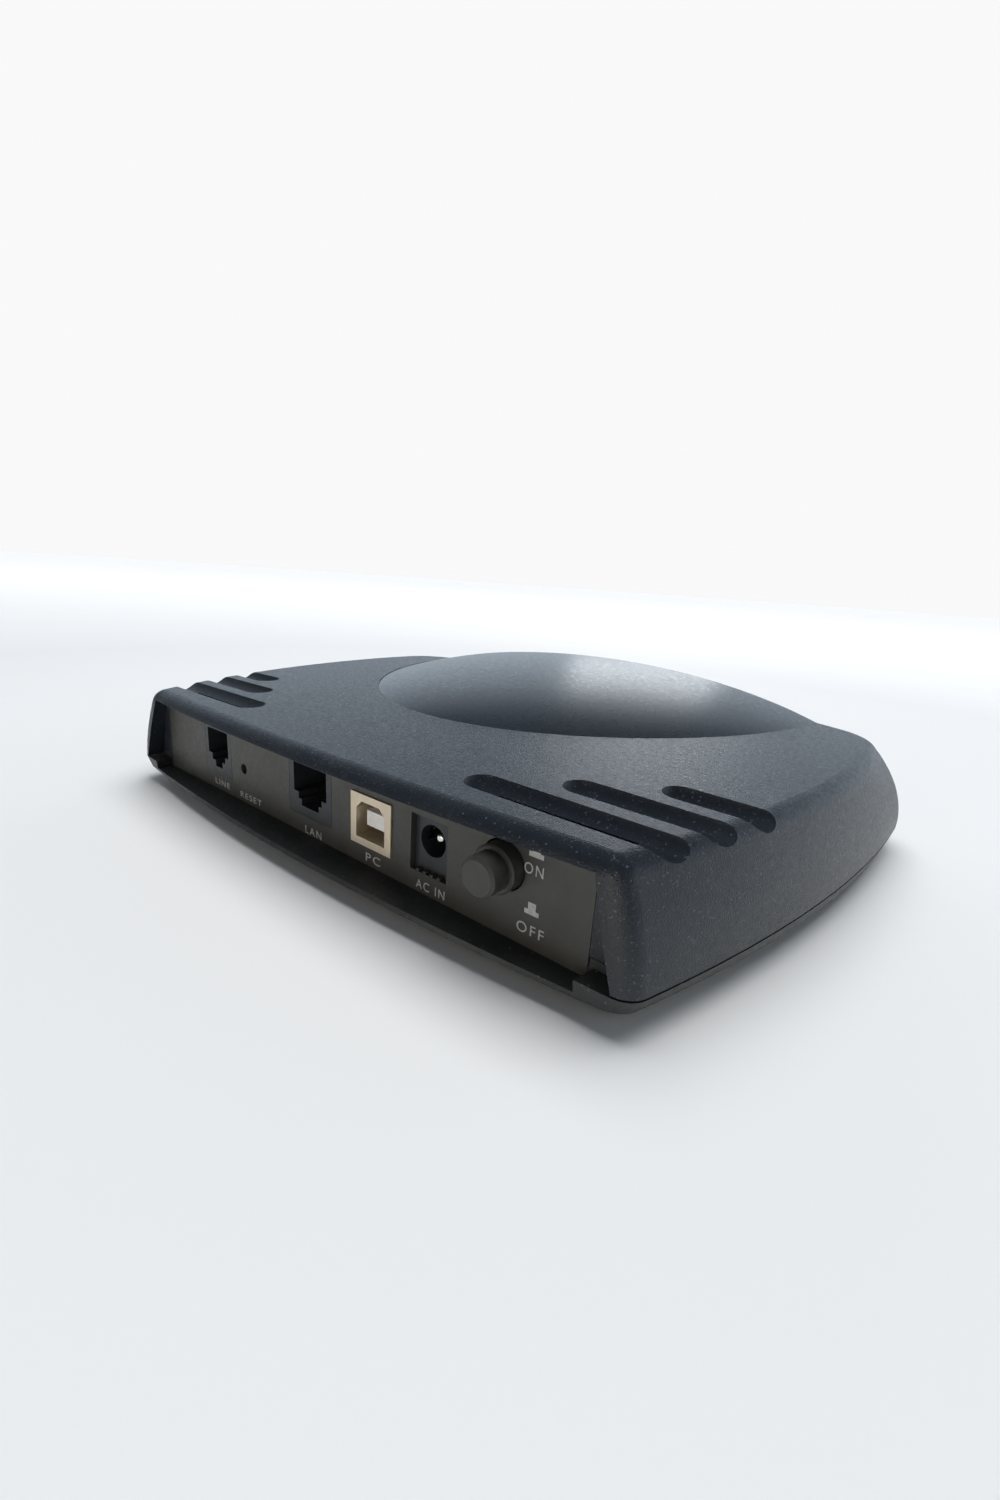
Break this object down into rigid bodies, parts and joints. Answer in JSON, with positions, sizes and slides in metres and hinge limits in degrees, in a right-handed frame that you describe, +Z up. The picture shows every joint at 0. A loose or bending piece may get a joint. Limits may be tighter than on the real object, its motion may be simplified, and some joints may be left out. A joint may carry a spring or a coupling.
{
  "type": "desktop broadband modem",
  "caption": "Low charcoal desktop modem with a domed lid, vent grooves, a rear row of sockets, a push power button and a recessed reset switch.",
  "frame": {"origin": "middle of the footprint, on the surface that the feet stand on", "axes": "+Z up, +Y towards the rear socket panel, +X towards the telephone line socket"},
  "size_m": [0.1956, 0.1471, 0.0367],
  "materials": {
    "cover_black": "fine textured charcoal plastic with metallic flake",
    "dome_black": "smooth satin charcoal plastic",
    "base_black": "fine textured charcoal plastic",
    "panel_grey": "matt warm dark grey plastic",
    "button_grey": "matt dark grey plastic",
    "smoked_lens": "smoked polished plastic",
    "clear_guide": "clear polished acrylic",
    "foot_rubber": "matt rubber",
    "zinc_steel": "zinc plated steel",
    "label_foil": "matt silver foil",
    "board_green": "green solder mask on glass fibre",
    "jack_black": "moulded black plastic",
    "gold_contact": "gold flashed spring wire",
    "nickel_shell": "warm nickel plated sheet",
    "white_insulator": "pale grey moulded plastic",
    "bright_pin": "polished nickel pin",
    "switch_plastic": "moulded black plastic",
    "plunger_white": "white moulded acetal",
    "spring_steel": "drawn steel wire",
    "chip_black": "moulded epoxy",
    "tin_lead": "tinned copper",
    "sink_aluminium": "extruded aluminium",
    "grey_pad": "soft thermal sheet",
    "ferrite": "sintered ferrite",
    "copper_wire": "enamelled copper wire",
    "yellow_tape": "polyester tape",
    "can_sleeve": "shrink sleeve",
    "lamp_green": "moulded lamp body",
    "ceramic_blue": "glazed ceramic",
    "chip_tan": "sintered ceramic"
  },
  "bodies": {
    "case": {"top_cover": "cover_black", "dome_cover": "dome_black", "base_cover": "base_black", "rubber_feet": "foot_rubber", "rating_label": "label_foil", "rear_panel": "panel_grey", "front_lens": "smoked_lens", "case_screws": "zinc_steel", "board_screws": "zinc_steel", "circuit_board": "board_green", "line_jack_housing": "jack_black", "line_jack_contacts": "gold_contact", "reset_switch_body": "switch_plastic", "reset_switch_cover": "zinc_steel", "lan_jack_housing": "jack_black", "lan_jack_contacts": "gold_contact", "data_port_shell": "nickel_shell", "data_port_insulator": "white_insulator", "data_port_contacts": "gold_contact", "power_jack_housing": "jack_black", "power_jack_pin": "bright_pin", "power_jack_spring": "gold_contact", "power_switch_body": "switch_plastic", "power_switch_spring": "spring_steel", "power_switch_pins": "tin_lead", "main_chip": "chip_black", "main_chip_leads": "tin_lead", "heat_sink": "sink_aluminium", "thermal_pad": "grey_pad", "memory_chip": "chip_black", "memory_chip_leads": "tin_lead", "flash_chip": "chip_black", "flash_chip_leads": "tin_lead", "line_driver_chip": "chip_black", "line_driver_chip_leads": "tin_lead", "transformer_core": "ferrite", "transformer_winding": "yellow_tape", "transformer_bobbin": "white_insulator", "transformer_base": "white_insulator", "choke_core": "ferrite", "choke_winding": "copper_wire", "capacitor_cans": "can_sleeve", "crystal_can": "zinc_steel", "voltage_regulator": "chip_black", "regulator_tab": "tin_lead", "lan_transformer": "chip_black", "surge_tube": "ceramic_blue", "status_leds": "lamp_green", "light_guides": "clear_guide", "chip_resistors": "chip_black", "chip_capacitors": "chip_tan"},
    "button": {"button_cap": "button_grey", "power_switch_plunger": "plunger_white"},
    "reset": {"reset_plunger": "plunger_white"}
  },
  "joints": [
    {"name": "power_press", "type": "slide", "parent": "case", "child": "button", "axis": [0, -1, 0], "range_m": [0, 0.003], "stiffness_N_per_m": 300, "springref_m": -0.003, "deforming": ["power_switch_spring"]},
    {"name": "reset_press", "type": "slide", "parent": "case", "child": "reset", "axis": [0, -1, 0], "range_m": [0, 0.0003], "stiffness_N_per_m": 800, "springref_m": -0.0015}
  ]
}
